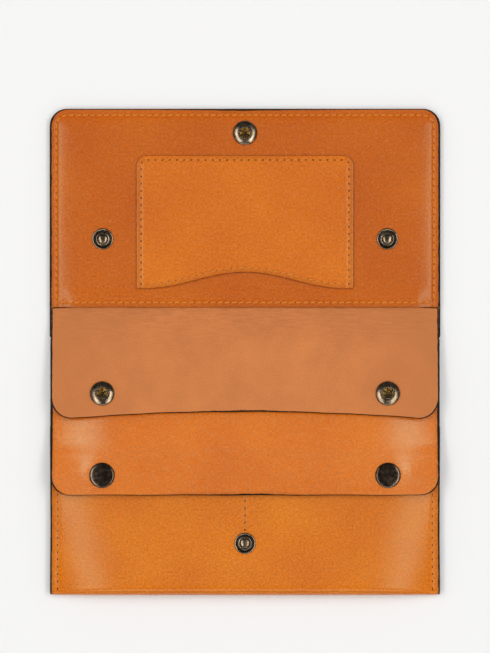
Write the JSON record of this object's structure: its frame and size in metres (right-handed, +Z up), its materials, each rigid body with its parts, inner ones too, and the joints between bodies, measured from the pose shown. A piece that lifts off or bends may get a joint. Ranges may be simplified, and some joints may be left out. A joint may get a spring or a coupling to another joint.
{
  "type": "long wallet",
  "caption": "Long leather wallet opened flat: a lined cover with a card patch folds over a deep pouch closed by two flaps with snap fasteners.",
  "frame": {"origin": "middle of the spine, on the plane that the back of the pouch rests on", "axes": "+X to the right across the wallet, +Y from the spine towards the cover's far edge, +Z up out of the opened wallet"},
  "size_m": [0.1952, 0.2427, 0.013],
  "materials": {
    "outer_leather": "oiled tan grain leather, satin",
    "lining_leather": "glazed tan leather, semi-gloss",
    "patch_leather": "glazed tan leather, semi-gloss",
    "flesh_leather": "matt flesh side of tan leather",
    "board": "matt leather-fibre board",
    "thread": "waxed tan thread",
    "bronze_snap": "dark antique bronze",
    "brass_inner": "plain brass"
  },
  "bodies": {
    "pouch": {"card_slip": "flesh_leather", "center_thread": "thread", "front_eyelet_center": "brass_inner", "front_eyelet_left": "brass_inner", "front_eyelet_right": "brass_inner", "front_stud_center": "bronze_snap", "front_stud_left": "bronze_snap", "front_stud_right": "bronze_snap", "pouch_flap_tab": "flesh_leather", "pouch_flap_thread": "thread", "pouch_shell": "outer_leather", "side_thread_left": "outer_leather", "side_thread_right": "outer_leather"},
    "spine": {"spine_panel": "outer_leather"},
    "cover": {"card_flap_tab": "flesh_leather", "card_patch": "patch_leather", "cover_cap": "bronze_snap", "cover_edge_thread": "thread", "cover_eyelet_left": "brass_inner", "cover_eyelet_right": "brass_inner", "cover_lining": "lining_leather", "cover_panel": "outer_leather", "cover_socket": "bronze_snap", "cover_spring": "brass_inner", "cover_stiffener": "board", "cover_stud_left": "bronze_snap", "cover_stud_right": "bronze_snap", "lining_foot_thread": "thread", "patch_mouth_thread": "thread", "patch_thread": "thread"},
    "card_flap_root": {"card_flap_bend": "flesh_leather"},
    "card_flap": {"card_flap": "flesh_leather", "card_flap_cap_left": "bronze_snap", "card_flap_cap_right": "bronze_snap", "card_flap_socket_left": "bronze_snap", "card_flap_socket_right": "bronze_snap", "card_flap_spring_left": "brass_inner", "card_flap_spring_right": "brass_inner"},
    "pouch_flap": {"pouch_flap": "outer_leather", "pouch_flap_cap_left": "bronze_snap", "pouch_flap_cap_right": "bronze_snap", "pouch_flap_socket_left": "bronze_snap", "pouch_flap_socket_right": "bronze_snap", "pouch_flap_spring_left": "brass_inner", "pouch_flap_spring_right": "brass_inner"}
  },
  "joints": [
    {"name": "spine_fold", "type": "hinge", "parent": "pouch", "child": "spine", "pos_m": [0, -0.011, 0.00075], "axis": [1, 0, 0], "range_deg": [0, 92.5], "deforming": ["spine_panel"]},
    {"name": "cover_fold", "type": "hinge", "parent": "spine", "child": "cover", "pos_m": [0, 0.011, 0.00075], "axis": [1, 0, 0], "range_deg": [0, 92.5]},
    {"name": "card_flap_tuck", "type": "hinge", "parent": "cover", "child": "card_flap_root", "pos_m": [0, 0.0106, 0.00477], "axis": [1, 0, 0], "range_deg": [-170.9, 0]},
    {"name": "card_flap_lift", "type": "hinge", "parent": "card_flap_root", "child": "card_flap", "pos_m": [0, 0.0106, 0.00477], "axis": [1, 0, 0], "range_deg": [-170.9, 0]},
    {"name": "pouch_flap_open", "type": "hinge", "parent": "pouch", "child": "pouch_flap", "pos_m": [0, -0.0155, 0.0024], "axis": [1, 0, 0], "range_deg": [-150, 0]}
  ],
  "couplings": [
    {"joint": "cover_fold", "follows": "spine_fold", "ratio": 1},
    {"joint": "card_flap_tuck", "follows": "spine_fold", "ratio": -1.8475},
    {"joint": "card_flap_lift", "follows": "pouch_flap_open", "ratio": 1.1393}
  ]
}
